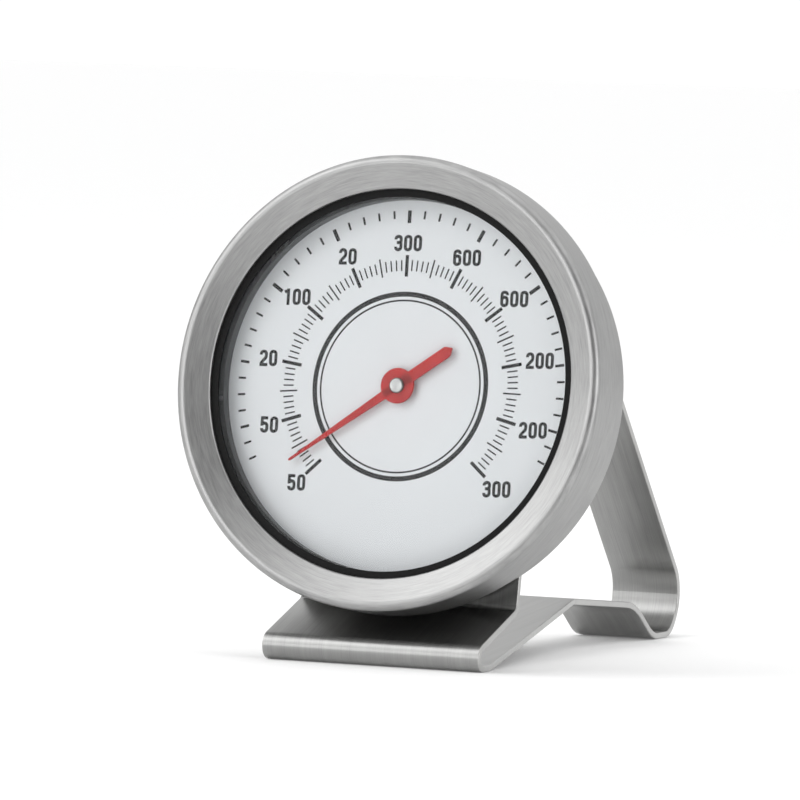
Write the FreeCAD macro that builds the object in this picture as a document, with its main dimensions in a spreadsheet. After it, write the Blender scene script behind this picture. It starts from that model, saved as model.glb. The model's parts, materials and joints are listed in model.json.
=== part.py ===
import FreeCAD, Part
import math
import os

import Sketcher

# Oven thermometer: a round bimetal dial case on a stand bent from one steel strip.
# Millimetres, +Z up, the dial faces -Y. The origin is on the table, under the middle of the
# whole part's outline. The round pieces are drawn about the dial's own axis: there +Z comes out
# of the glass, +Y is the top of the dial and Z = 0 is the printed face.

DIMENSIONS = {
    # where the dial sits
    "dial_y": -42.993,
    "dial_height": 38.8,
    "dial_tilt": 7.6,
    "pointer_angle": 234.2,
    # bezel
    "lip_radius": 27.3,
    "lip_front": 4.1,
    "lip_width": 0.9,
    "crown_radius": 30.75,
    "crown_front": 5.4,
    "shoulder_round": 1.0,
    "bezel_radius": 32.0,
    "bezel_back": -2.2,
    "bezel_wall": 0.6,
    # case
    "case_neck": 31.2,
    "case_radius": 30.2,
    "case_wall": 0.8,
    "case_step": -2.6,
    "case_side_back": -8.7,
    "case_back": -9.7,
    "case_back_radius": 29.4,
    "case_back_round": 1.8,
    "case_step_round": 0.3,
    "vent_radius": 1.4,
    "vent_circle": 19.0,
    # glass and dial stack
    "stack_radius": 29.9,
    "gasket_inner": 26.3,
    "gasket_height": 0.3,
    "lens_height": 1.5,
    "spacer_inner": 26.2,
    "spacer_height": 1.7,
    "dial_thickness": 0.5,
    "dial_hole": 1.3,
    "post_radius": 1.2,
    "post_shank": 0.8,
    "post_circle": 24.0,
    # pointer and its shaft
    "pointer_reach": 19.2,
    "pointer_tip_width": 0.3,
    "pointer_width": 1.25,
    "pointer_tail": 9.7,
    "pointer_tail_width": 1.6,
    "pointer_tail_point": 0.9,
    "pointer_bottom": 0.8,
    "pointer_thickness": 0.3,
    "hub_radius": 2.5,
    "collar_radius": 1.4,
    "collar_bottom": 0.35,
    "cap_radius": 1.1,
    "cap_height": 0.4,
    "arbor_radius": 0.8,
    "arbor_tip_radius": 0.5,
    "arbor_bottom": -8.5,
    "arbor_tip_top": 1.3,
    "running_gap": 0.05,
    # bearings and bridge
    "bridge_length": 30.0,
    "bridge_width": 7.0,
    "bridge_front": -2.1,
    "bridge_thickness": 0.8,
    "bush_radius": 1.7,
    "bush_flange_radius": 2.4,
    "bush_flange_height": 0.5,
    "rear_bush_flange": 2.6,
    "rear_bush_top": -7.5,
    "rear_bush_bore_bottom": -8.6,
    "rear_bush_shank": 1.2,
    "pillar_radius": 1.6,
    "pillar_shank": 0.9,
    "pillar_offset": 12.0,
    "screw_radius": 0.8,
    "screw_hole": 0.85,
    "screw_depth": 3.0,
    "screw_reach": 2.7,
    "screw_head_radius": 1.6,
    "screw_head_height": 0.8,
    "screw_slot": 0.4,
    "clip_radius": 1.8,
    "clip_top": -3.2,
    "clip_thickness": 0.3,
    "clip_slot": 0.9,
    # bimetal coil
    "collet_radius": 1.9,
    "collet_top": -4.2,
    "collet_bottom": -7.2,
    "coil_inner": 2.4,
    "coil_outer": 8.6,
    "coil_strip": 0.25,
    "coil_top": -4.5,
    "coil_bottom": -6.9,
    "coil_post_radius": 0.9,
    "coil_post_offset": 9.75,
    "coil_post_shank": 0.6,
    "coil_post_top": -3.6,
    "coil_pin_radius": 0.3,
    "coil_pin_length": 3.0,
    # rivets that hold the stand
    "rivet_offset": 8.0,
    "rivet_drop": 20.0,
    "rivet_shank": 1.5,
    "rivet_head": 2.9,
    "rivet_head_height": 0.9,
    "rivet_inner_head": 2.5,
    "rivet_inner_height": 0.7,
    "washer_radius": 3.2,
    "washer_thickness": 0.5,
    "small_head_height": 0.5,
    # stand: one strip, widths across X, places along Y from the dial's centre
    "strip_thickness": 0.9,
    "foot_width": 33.0,
    "hump_width": 12.6,
    "leg_width": 10.6,
    "upstand_top_drop": 15.0,
    "upstand_foot_height": 7.9,
    "plate_round": 1.6,
    "roll_front": -6.75,
    "roll_top_height": 3.05,
    "roll_round": 1.5,
    "flat_end": -1.2,
    "flat_round": 8.0,
    "taper_start": -4.6,
    "crest_start": 51.7,
    "crest_start_height": 6.9,
    "crest_round": 2.0,
    "crest_end": 75.4,
    "crest_end_height": 5.4,
    "crest_end_round": 12.0,
    "toe_front": 83.0,
    "toe_front_round": 7.0,
    "toe_back": 95.0,
    "toe_round": 5.7,
    "leg_start_height": 8.5,
    "arm_height": 52.0,
    "arm_back": 54.2,
    "arm_front": 27.0,
    "arm_back_round": 7.0,
    "arm_front_round": 6.0,
    "hook_end": 26.0,
    "hook_end_height": 40.0,
    "low_trim_height": 2.4,
    "middle_trim_start": 9.6,
    "middle_trim_height": 8.0,
    "leg_trim_start": 20.0,
    "trim_reach": 10.0,
}

VENT_ANGLES = [30, 60, 90, 120, 150]
POST_ANGLES = [90, 210, 330]
COIL_HALF_TURNS = 9
FULL_TURN = 360.0
HEAD_ROUNDING = 0.6
CUT_MARGIN = 1.0
PIN_PROUD = 0.2


class Size:
    """A length with the spreadsheet formula that gives it, so a sketch can start at the right
    place and then be bound to the sheet."""

    def __init__(self, value, formula):
        self.value = value
        self.formula = formula

    @staticmethod
    def of(other):
        return other if isinstance(other, Size) else Size(float(other), str(other))

    def combine(self, other, sign, value):
        return Size(value, f"({self.formula} {sign} {Size.of(other).formula})")

    def __add__(self, other):
        return self.combine(other, "+", self.value + Size.of(other).value)

    def __sub__(self, other):
        return self.combine(other, "-", self.value - Size.of(other).value)

    def __mul__(self, other):
        return self.combine(other, "*", self.value * Size.of(other).value)

    def __truediv__(self, other):
        return self.combine(other, "/", self.value / Size.of(other).value)

    def __neg__(self):
        return Size(-self.value, f"(-{self.formula})")


def sine(angle):
    return Size(math.sin(math.radians(angle.value)), f"sin({angle.formula} * 1 deg)")


def cosine(angle):
    return Size(math.cos(math.radians(angle.value)), f"cos({angle.formula} * 1 deg)")


# ---------------------------------------------------------------- document and sheet

doc = FreeCAD.newDocument("OvenThermometer")
sheet = doc.addObject("Spreadsheet::Sheet", "Sizes")
for row, (alias, number) in enumerate(DIMENSIONS.items(), start=1):
    sheet.set(f"A{row}", alias)
    sheet.set(f"B{row}", str(number))
    sheet.setAlias(f"B{row}", alias)
doc.recompute()


def size(alias):
    return Size(float(sheet.get(alias)), f"Sizes.{alias}")


ZERO = Size(0.0, "0")
TILT = size("dial_tilt")
CASE_BACK = size("case_back")
CASE_INSIDE = CASE_BACK + size("case_wall")
STRIP = size("strip_thickness")
STRIP_BACK = CASE_BACK - STRIP
BRIDGE_BACK = size("bridge_front") - size("bridge_thickness")
POINTER_TOP = size("pointer_bottom") + size("pointer_thickness")
BEARING_BORE = size("arbor_radius") + size("running_gap")
LENS_BACK = size("spacer_height")
LENS_FRONT = LENS_BACK + size("lens_height")


def dial_placement(turn=0.0):
    """The dial's own frame, turned clockwise as seen from the front by `turn` degrees."""
    tip = FreeCAD.Rotation(FreeCAD.Vector(1, 0, 0), 90.0 - TILT.value)
    spin = FreeCAD.Rotation(FreeCAD.Vector(0, 0, 1), -turn)
    centre = FreeCAD.Vector(0, size("dial_y").value, size("dial_height").value)
    return FreeCAD.Placement(centre, tip * spin)


# ---------------------------------------------------------------- helpers for sketches

def add_body(label, placement):
    body = doc.addObject("PartDesign::Body", label)
    body.Label = label
    body.Placement = placement
    return body


def add_sketch(body, name, plane, offset=None):
    """A sketch on one of the body's own origin planes: XY, XZ or YZ."""
    sketch = body.newObject("Sketcher::SketchObject", f"{body.Name}_{name}")
    plane_object = [item for item in body.Origin.OriginFeatures if item.Role == f"{plane}_Plane"][0]
    sketch.AttachmentSupport = [(plane_object, "")]
    sketch.MapMode = "FlatFace"
    if offset:
        sketch.AttachmentOffset = offset
    return sketch


def bind_constraint(sketch, constraint, bound):
    index = sketch.addConstraint(constraint)
    sketch.setExpression(f"Constraints[{index}]", bound.formula)


def place_point(sketch, geometry, position, x, y):
    """Hold one point of a sketch at bound distances from the sketch's origin."""
    for kind, bound, axis in (("DistanceX", x, -2), ("DistanceY", y, -1)):
        if bound is ZERO:
            sketch.addConstraint(Sketcher.Constraint("PointOnObject", geometry, position, axis))
        else:
            held = Sketcher.Constraint(kind, -1, 1, geometry, position, bound.value)
            bind_constraint(sketch, held, bound)


def vector_of(x, y):
    return FreeCAD.Vector(x.value, y.value, 0)


def rounded_corner(before, corner, after, radius):
    """Where a tangent arc of this radius leaves and meets the two lines of a corner."""
    back = (before - corner).normalize()
    ahead = (after - corner).normalize()
    half_angle = back.getAngle(ahead) / 2.0
    reach = radius / math.tan(half_angle)
    entry = corner + back * reach
    leave = corner + ahead * reach
    centre = corner + (back + ahead).normalize() * (radius / math.sin(half_angle))
    turns_left = (corner - before).cross(after - corner).z > 0
    return entry, leave, centre, turns_left


def draw_path(sketch, corners, closed):
    """Straight runs through the corners, with a tangent arc at each corner that has a radius.
    A corner is (x, y) or (x, y, radius). Every corner and radius is bound to the sheet."""
    count = len(corners)
    points = [vector_of(corner[0], corner[1]) for corner in corners]
    starts = list(points)
    ends = list(points)
    arcs = {}
    for i, corner in enumerate(corners):
        if len(corner) == 3:
            found = rounded_corner(points[i - 1], points[i], points[(i + 1) % count], corner[2].value)
            ends[i], starts[i] = found[0], found[1]
            arcs[i] = found
    runs = count if closed else count - 1
    lines = []
    for i in range(runs):
        segment = Part.LineSegment(starts[i], ends[(i + 1) % count])
        lines.append(sketch.addGeometry(segment, False))
    for i, corner in enumerate(corners):
        before = lines[i - 1] if (closed or i > 0) else None
        after = lines[i] if i < runs else None
        if i in arcs:
            round_corner(sketch, before, after, points[i], corner, arcs[i])
            continue
        if before is not None and after is not None:
            sketch.addConstraint(Sketcher.Constraint("Coincident", before, 2, after, 1))
        if after is not None:
            place_point(sketch, after, 1, corner[0], corner[1])
        else:
            place_point(sketch, before, 2, corner[0], corner[1])


def round_corner(sketch, before, after, point, corner, found):
    """One tangent arc, and the construction point that holds the corner it replaces."""
    entry, leave, centre, turns_left = found
    first, last = (entry, leave) if turns_left else (leave, entry)
    circle = Part.Circle(centre, FreeCAD.Vector(0, 0, 1), corner[2].value)
    start_angle = math.atan2(first.y - centre.y, first.x - centre.x)
    end_angle = math.atan2(last.y - centre.y, last.x - centre.x)
    arc = sketch.addGeometry(Part.ArcOfCircle(circle, start_angle, end_angle), False)
    entry_end, leave_end = (1, 2) if turns_left else (2, 1)
    sketch.addConstraint(Sketcher.Constraint("Tangent", before, 2, arc, entry_end))
    sketch.addConstraint(Sketcher.Constraint("Tangent", after, 1, arc, leave_end))
    bind_constraint(sketch, Sketcher.Constraint("Radius", arc, corner[2].value), corner[2])
    mark = sketch.addGeometry(Part.Point(point), True)
    sketch.addConstraint(Sketcher.Constraint("PointOnObject", mark, 1, before))
    sketch.addConstraint(Sketcher.Constraint("PointOnObject", mark, 1, after))
    place_point(sketch, mark, 1, corner[0], corner[1])


def draw_circle(sketch, x, y, radius):
    circle = Part.Circle(vector_of(x, y), FreeCAD.Vector(0, 0, 1), radius.value)
    index = sketch.addGeometry(circle, False)
    place_point(sketch, index, 3, x, y)
    bind_constraint(sketch, Sketcher.Constraint("Radius", index, radius.value), radius)


def mirrored(corners):
    """The same closed outline on the other side of the middle."""
    return [(-corner[0],) + tuple(corner[1:]) for corner in reversed(corners)]


# ---------------------------------------------------------------- helpers for features

def revolve(body, corners, name="Section"):
    """Turn a closed section about the dial's axis; its corners are (radius, height)."""
    sketch = add_sketch(body, name, "XZ")
    draw_path(sketch, corners, closed=True)
    feature = body.newObject("PartDesign::Revolution", f"{body.Name}_Turned{name}")
    feature.Profile = sketch
    feature.ReferenceAxis = (sketch, ["V_Axis"])
    feature.Angle = FULL_TURN
    body.Tip = feature
    return feature


def pad(body, sketch, length, name="Pad"):
    feature = body.newObject("PartDesign::Pad", f"{body.Name}_{name}")
    feature.Profile = sketch
    feature.setExpression("Length", length.formula)
    body.Tip = feature
    return feature


def pocket(body, sketch, length, upward, name):
    """Cut from the sketch's plane, against its normal or, when upward, along it."""
    before = body.Shape.Volume if body.Shape.Solids else None
    feature = body.newObject("PartDesign::Pocket", f"{body.Name}_{name}")
    feature.Profile = sketch
    feature.setExpression("Length", length.formula)
    feature.Reversed = upward
    body.Tip = feature
    doc.recompute()
    if before is not None and body.Shape.Volume >= before - 1e-6:
        raise RuntimeError(f"{body.Label}: {name} cut nothing")
    return feature


def at_height(height):
    return FreeCAD.Placement(FreeCAD.Vector(0, 0, height.value), FreeCAD.Rotation())


def ring(label, inner, outer, bottom, top):
    body = add_body(label, dial_placement())
    revolve(body, [(inner, bottom), (outer, bottom), (outer, top), (inner, top)])
    return body


def copy_group(label, master, places):
    """Equal pieces that share one node: copies of the master at each place on the dial."""
    links = []
    for number, (x, y) in enumerate(places, start=1):
        link = doc.addObject("App::Link", f"{label}_{number}")
        link.LinkedObject = master
        link.setExpression("Placement.Base.x", x.formula)
        link.setExpression("Placement.Base.y", y.formula)
        links.append(link)
    group = doc.addObject("Part::Compound", label)
    group.Links = links
    group.Label = label
    group.Placement = dial_placement()
    return group


def turned_group(label, corners, places):
    master = add_body(f"{label}_master", FreeCAD.Placement())
    revolve(master, corners)
    return copy_group(label, master, places)


def around(circle, angles):
    """Bound places on a circle, each angle counted from +X towards +Y."""
    places = []
    for angle in angles:
        turn = math.radians(angle)
        places.append((circle * round(math.cos(turn), 9), circle * round(math.sin(turn), 9)))
    return places


# ---------------------------------------------------------------- case

def make_bezel():
    """Pressed ring: a flat lip over the glass, a face rising to a rounded shoulder, a side band."""
    wall = size("bezel_wall")
    lip, lip_front = size("lip_radius"), size("lip_front")
    outer = size("bezel_radius")
    crown, crown_front = size("crown_radius"), size("crown_front")
    inner_corner = outer - wall
    body = add_body("bezel", dial_placement())
    revolve(body, [
        (lip, lip_front - wall),
        (lip + size("lip_width"), lip_front - wall),
        (crown, crown_front - wall),
        (inner_corner, crown_front - wall * 2.5),
        (inner_corner, size("bezel_back")),
        (outer, size("bezel_back")),
        (outer, crown_front, size("shoulder_round")),
        (crown, crown_front, size("shoulder_round")),
        (lip, lip_front),
    ])
    return body


def make_rear_case():
    """Drawn cup: a neck inside the bezel, a step in to the body, and a flat back with holes."""
    wall = size("case_wall")
    neck, outer = size("case_neck"), size("case_radius")
    step, side_back = size("case_step"), size("case_side_back")
    back_radius = size("case_back_radius")
    body = add_body("rear_case", dial_placement())
    revolve(body, [
        (ZERO, CASE_INSIDE),
        (back_radius - wall, CASE_INSIDE, size("case_back_round") - wall),
        (outer - wall, side_back),
        (outer - wall, step + wall),
        (neck - wall, step + wall),
        (neck - wall, LENS_FRONT),
        (neck, LENS_FRONT),
        (neck, step, size("case_step_round")),
        (outer, step),
        (outer, side_back),
        (back_radius, CASE_BACK, size("case_back_round")),
        (ZERO, CASE_BACK),
    ])
    doc.recompute()
    holes = add_sketch(body, "Holes", "XY")
    draw_circle(holes, ZERO, ZERO, size("rear_bush_shank"))
    for x, y in around(size("vent_circle"), VENT_ANGLES):
        draw_circle(holes, x, y, size("vent_radius"))
    for x, y in around(size("post_circle"), POST_ANGLES):
        draw_circle(holes, x, y, size("post_shank"))
    for x in (size("pillar_offset"), -size("pillar_offset")):
        draw_circle(holes, x, ZERO, size("pillar_shank"))
    for x, y in rivet_places():
        draw_circle(holes, x, y, size("rivet_shank"))
    draw_circle(holes, ZERO, size("coil_post_offset"), size("coil_post_shank"))
    pocket(body, holes, -CASE_BACK + CUT_MARGIN, False, "Drilled")
    return body


def riveted_foot(shank, head_radius):
    """Start of a turned section: a domed head behind the case and a shank through its back."""
    head_height = size("small_head_height")
    return [
        (ZERO, CASE_BACK - head_height),
        (head_radius, CASE_BACK - head_height, head_height * HEAD_ROUNDING),
        (head_radius, CASE_BACK),
        (shank, CASE_BACK),
        (shank, CASE_INSIDE),
    ]


def rivet_places():
    offset, drop = size("rivet_offset"), size("rivet_drop")
    return [(-offset, -drop), (offset, -drop)]


def make_dial_stack():
    """Glass, its gasket, the spacer under it and the printed plate, face to face."""
    outer = size("stack_radius")
    ring("lens_gasket", size("gasket_inner"), outer, LENS_FRONT, LENS_FRONT + size("gasket_height"))
    ring("lens", ZERO, outer, LENS_BACK, LENS_FRONT)
    ring("spacer_ring", size("spacer_inner"), outer, ZERO, LENS_BACK)
    ring("dial_plate", size("dial_hole"), outer, -size("dial_thickness"), ZERO)


def make_dial_posts():
    """Shouldered posts under the dial, riveted through the case's back."""
    radius = size("post_radius")
    section = riveted_foot(size("post_shank"), radius * 1.25) + [
        (radius, CASE_INSIDE),
        (radius, -size("dial_thickness")),
        (ZERO, -size("dial_thickness")),
    ]
    turned_group("dial_posts", section, around(size("post_circle"), POST_ANGLES))


# ---------------------------------------------------------------- pointer and shaft

def make_pointer():
    """Flat red needle with a pointed tail, a round hub and a short collar under it."""
    half_tip = size("pointer_tip_width") / 2
    half_width = size("pointer_width") / 2
    half_tail = size("pointer_tail_width") / 2
    reach, tail = size("pointer_reach"), size("pointer_tail")
    hub = size("hub_radius")
    body = add_body("pointer", dial_placement(size("pointer_angle").value))
    flat = add_sketch(body, "Needle", "XY", at_height(size("pointer_bottom")))
    draw_path(flat, [
        (half_tip, reach),
        (-half_tip, reach),
        (-half_width, hub * 0.6),
        (-half_tail, -hub * 0.6),
        (-half_tail, -(tail - size("pointer_tail_point"))),
        (ZERO, -tail),
        (half_tail, -(tail - size("pointer_tail_point"))),
        (half_tail, -hub * 0.6),
        (half_width, hub * 0.6),
    ], closed=True)
    pad(body, flat, size("pointer_thickness"), "Flat")
    disc = add_sketch(body, "Hub", "XY", at_height(size("pointer_bottom")))
    draw_circle(disc, ZERO, ZERO, hub)
    pad(body, disc, size("pointer_thickness"), "HubDisc")
    collar = add_sketch(body, "Collar", "XY", at_height(size("collar_bottom")))
    draw_circle(collar, ZERO, ZERO, size("collar_radius"))
    pad(body, collar, size("pointer_bottom") - size("collar_bottom"), "CollarBoss")
    doc.recompute()
    bore = add_sketch(body, "Bore", "XY")
    draw_circle(bore, ZERO, ZERO, size("arbor_tip_radius"))
    pocket(body, bore, POINTER_TOP + CUT_MARGIN, True, "Bored")
    return body


def make_pointer_cap():
    """Small domed cap pressed over the arbor's tip."""
    radius, height = size("cap_radius"), size("cap_height")
    tip, tip_top = size("arbor_tip_radius"), size("arbor_tip_top")
    body = add_body("pointer_cap", dial_placement())
    revolve(body, [
        (tip, POINTER_TOP),
        (radius, POINTER_TOP),
        (radius, POINTER_TOP + height, height * HEAD_ROUNDING),
        (ZERO, POINTER_TOP + height),
        (ZERO, tip_top),
        (tip, tip_top),
    ])
    return body


def make_arbor():
    tip, tip_top = size("arbor_tip_radius"), size("arbor_tip_top")
    radius, bottom = size("arbor_radius"), size("arbor_bottom")
    shoulder = size("collar_bottom")
    body = add_body("arbor", dial_placement())
    revolve(body, [
        (ZERO, bottom),
        (radius, bottom),
        (radius, shoulder),
        (tip, shoulder),
        (tip, tip_top),
        (ZERO, tip_top),
    ])
    return body


def make_arbor_clip():
    """Snap ring on the arbor behind the bridge, open on one side."""
    top = size("clip_top")
    bottom = top - size("clip_thickness")
    body = ring("arbor_clip", size("arbor_radius"), size("clip_radius"), bottom, top)
    doc.recompute()
    half_slot = size("clip_slot") / 2
    slot = add_sketch(body, "Slot", "XY")
    draw_path(slot, [
        (half_slot, ZERO),
        (half_slot, size("clip_radius") * 2),
        (-half_slot, size("clip_radius") * 2),
        (-half_slot, ZERO),
    ], closed=True)
    pocket(body, slot, -bottom + CUT_MARGIN, False, "Slotted")
    return body


# ---------------------------------------------------------------- bearings and bridge

def make_bridge():
    """Plate across the case that carries the front bush."""
    half_length = size("bridge_length") / 2
    half_width = size("bridge_width") / 2
    body = add_body("bridge", dial_placement())
    plate = add_sketch(body, "Plate", "XY", at_height(BRIDGE_BACK))
    corner = half_width * 0.6
    draw_path(plate, [
        (half_length, half_width, corner),
        (-half_length, half_width, corner),
        (-half_length, -half_width, corner),
        (half_length, -half_width, corner),
    ], closed=True)
    draw_circle(plate, ZERO, ZERO, size("bush_radius"))
    for x in (size("pillar_offset"), -size("pillar_offset")):
        draw_circle(plate, x, ZERO, size("screw_hole"))
    pad(body, plate, size("bridge_thickness"), "Sheet")
    return body


def make_front_bush():
    front = size("bridge_front")
    radius, flange = size("bush_radius"), size("bush_flange_radius")
    flange_top = front + size("bush_flange_height")
    body = add_body("front_bush", dial_placement())
    revolve(body, [
        (BEARING_BORE, BRIDGE_BACK),
        (radius, BRIDGE_BACK),
        (radius, front),
        (flange, front),
        (flange, flange_top),
        (BEARING_BORE, flange_top),
    ])
    return body


def make_rear_bush():
    """Blind bearing under the arbor, riveted through the middle of the case's back."""
    shank, flange = size("rear_bush_shank"), size("rear_bush_flange")
    top, floor = size("rear_bush_top"), size("rear_bush_bore_bottom")
    flange_top = CASE_INSIDE + size("bush_flange_height")
    body = add_body("rear_bush", dial_placement())
    revolve(body, riveted_foot(shank, shank * 1.6) + [
        (flange, CASE_INSIDE),
        (flange, flange_top),
        (size("bush_radius"), flange_top),
        (size("bush_radius"), top),
        (BEARING_BORE, top),
        (BEARING_BORE, floor),
        (ZERO, floor),
    ])
    return body


def pillar_places():
    return [(-size("pillar_offset"), ZERO), (size("pillar_offset"), ZERO)]


def make_bridge_pillars():
    """Tapped pillars under the bridge, riveted through the case's back."""
    radius, hole = size("pillar_radius"), size("screw_hole")
    hole_floor = BRIDGE_BACK - size("screw_depth")
    section = riveted_foot(size("pillar_shank"), radius * 1.1) + [
        (radius, CASE_INSIDE),
        (radius, BRIDGE_BACK),
        (hole, BRIDGE_BACK),
        (hole, hole_floor),
        (ZERO, hole_floor),
    ]
    turned_group("bridge_pillars", section, pillar_places())


def make_bridge_screws():
    """Two slotted screws that hold the bridge on its pillars."""
    front = size("bridge_front")
    head_radius, head_top = size("screw_head_radius"), front + size("screw_head_height")
    shaft, end = size("screw_radius"), BRIDGE_BACK - size("screw_reach")
    master = add_body("bridge_screws_master", FreeCAD.Placement())
    revolve(master, [
        (ZERO, end),
        (shaft, end),
        (shaft, front),
        (head_radius, front),
        (head_radius, head_top, size("screw_head_height") * 0.4),
        (ZERO, head_top),
    ])
    doc.recompute()
    half_slot = size("screw_slot") / 2
    slot = add_sketch(master, "Slot", "XY", at_height(head_top))
    draw_path(slot, [
        (head_radius * 1.2, half_slot),
        (-head_radius * 1.2, half_slot),
        (-head_radius * 1.2, -half_slot),
        (head_radius * 1.2, -half_slot),
    ], closed=True)
    pocket(master, slot, size("screw_head_height") / 2, False, "Slotted")
    copy_group("bridge_screws", master, pillar_places())


# ---------------------------------------------------------------- bimetal coil

def make_bimetal_coil():
    """Flat spiral of half circles whose centres alternate, thickened to the strip and raised.
    Its inner end stops just clear of the collet, its outer end lies against the post."""
    inner, outer = size("coil_inner").value, size("coil_outer").value
    half_strip = size("coil_strip").value / 2
    bottom, top = size("coil_bottom").value, size("coil_top").value
    step = (outer - inner) / COIL_HALF_TURNS
    edges = []
    for side in (-half_strip, half_strip):
        for turn in range(COIL_HALF_TURNS):
            radius = inner + step * (turn + 0.5)
            direction = 1 if turn % 2 == 0 else -1
            centre = FreeCAD.Vector(0, direction * step / 2, bottom)
            reach = radius + side
            start = centre + FreeCAD.Vector(0, -direction * reach, 0)
            middle = centre + FreeCAD.Vector(direction * reach, 0, 0)
            finish = centre + FreeCAD.Vector(0, direction * reach, 0)
            edges.append(Part.Arc(start, middle, finish).toShape())
    inner_ends = [edges[0].Vertexes[0].Point, edges[COIL_HALF_TURNS].Vertexes[0].Point]
    outer_ends = [edges[COIL_HALF_TURNS - 1].Vertexes[-1].Point, edges[-1].Vertexes[-1].Point]
    edges.append(Part.makeLine(inner_ends[0], inner_ends[1]))
    edges.append(Part.makeLine(outer_ends[0], outer_ends[1]))
    outline = Part.Wire(Part.__sortEdges__(edges))
    coil = doc.addObject("Part::Feature", "bimetal_coil")
    coil.Label = "bimetal_coil"
    coil.Shape = Part.Face(outline).extrude(FreeCAD.Vector(0, 0, top - bottom))
    coil.Placement = dial_placement()
    return coil


def make_coil_collet():
    ring("coil_collet", size("arbor_radius"), size("collet_radius"),
         size("collet_bottom"), size("collet_top"))


def make_coil_post():
    """Post for the coil's outer end, with the cross hole for its pin."""
    radius, shank = size("coil_post_radius"), size("coil_post_shank")
    body = add_body("coil_post_master", FreeCAD.Placement())
    revolve(body, riveted_foot(shank, shank * 1.8) + [
        (radius, CASE_INSIDE),
        (radius, size("coil_post_top")),
        (ZERO, size("coil_post_top")),
    ])
    hole = coil_pin_cylinder("coil_pin_hole", radius * 4)
    hole.setExpression("Placement.Base.y", (radius * 2).formula)
    post = doc.addObject("Part::Cut", "coil_post")
    post.Base = body
    post.Tool = hole
    post.Label = "coil_post"
    offset = FreeCAD.Placement(FreeCAD.Vector(0, size("coil_post_offset").value, 0), FreeCAD.Rotation())
    post.Placement = dial_placement() * offset
    return post


def coil_pin_cylinder(name, length):
    """Cylinder along the dial's up direction at the coil's middle height."""
    pin = doc.addObject("Part::Cylinder", name)
    pin.setExpression("Radius", size("coil_pin_radius").formula)
    pin.setExpression("Height", length.formula)
    middle = (size("coil_top") + size("coil_bottom")) / 2
    pin.Placement = FreeCAD.Placement(
        FreeCAD.Vector(0, 0, middle.value), FreeCAD.Rotation(FreeCAD.Vector(1, 0, 0), 90))
    pin.setExpression("Placement.Base.z", middle.formula)
    return pin


def make_coil_pin():
    """Pin through the post and the coil's outer end."""
    pin = coil_pin_cylinder("coil_pin", size("coil_pin_length"))
    pin.Label = "coil_pin"
    middle = (size("coil_top").value + size("coil_bottom").value) / 2
    top = size("coil_post_offset").value + size("coil_post_radius").value + PIN_PROUD
    pin.setExpression("Placement.Base.z", None)
    local = FreeCAD.Placement(
        FreeCAD.Vector(0, top, middle), FreeCAD.Rotation(FreeCAD.Vector(1, 0, 0), 90))
    pin.Placement = dial_placement() * local
    return pin


# ---------------------------------------------------------------- stand

def stand_corners():
    """Middle line of the strip, from the upstand's top to the hook's free end, as (y, z, round)."""
    half = STRIP / 2
    behind = -CASE_BACK + half
    tilt_sine, tilt_cosine = sine(TILT), cosine(TILT)
    height = size("dial_height")
    top_drop = size("upstand_top_drop")
    top_y = behind * tilt_cosine - top_drop * tilt_sine
    top_z = height - behind * tilt_sine - top_drop * tilt_cosine
    foot_z = size("upstand_foot_height")
    foot_y = top_y - (top_z - foot_z) * tilt_sine / tilt_cosine
    arm = size("arm_height")
    return [
        (top_y, top_z),
        (foot_y, foot_z, size("plate_round")),
        (size("roll_front"), size("roll_top_height"), size("roll_round")),
        (size("roll_front"), half, size("roll_round")),
        (size("flat_end"), half, size("flat_round")),
        (size("crest_start"), size("crest_start_height"), size("crest_round")),
        (size("crest_end"), size("crest_end_height"), size("crest_end_round")),
        (size("toe_front"), half, size("toe_front_round")),
        (size("toe_back"), half, size("toe_round")),
        (size("toe_back"), size("leg_start_height"), size("toe_round")),
        (size("arm_back"), arm, size("arm_back_round")),
        (size("arm_front"), arm, size("arm_front_round")),
        (size("hook_end"), size("hook_end_height")),
    ]


def make_strip():
    """The strip at full width, swept along its middle line."""
    placement = FreeCAD.Placement(FreeCAD.Vector(0, size("dial_y").value, 0), FreeCAD.Rotation())
    body = add_body("stand_strip", placement)
    corners = stand_corners()
    path = add_sketch(body, "MiddleLine", "YZ")
    draw_path(path, corners, closed=False)
    start = FreeCAD.Vector(0, corners[0][0].value, corners[0][1].value)
    lean = FreeCAD.Rotation(FreeCAD.Vector(1, 0, 0), -TILT.value)
    section = add_sketch(body, "Section", "XY", FreeCAD.Placement(start, lean))
    half_width, half = size("foot_width") / 2, STRIP / 2
    draw_path(section, [
        (half_width, half),
        (-half_width, half),
        (-half_width, -half),
        (half_width, -half),
    ], closed=True)
    doc.recompute()
    sweep = body.newObject("PartDesign::AdditivePipe", "StripSweep")
    sweep.Profile = section
    sweep.Spine = (path, [f"Edge{number + 1}" for number in range(len(path.Shape.Edges))])
    sweep.Transition = "Transformed"
    body.Tip = sweep
    doc.recompute()
    return body


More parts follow.
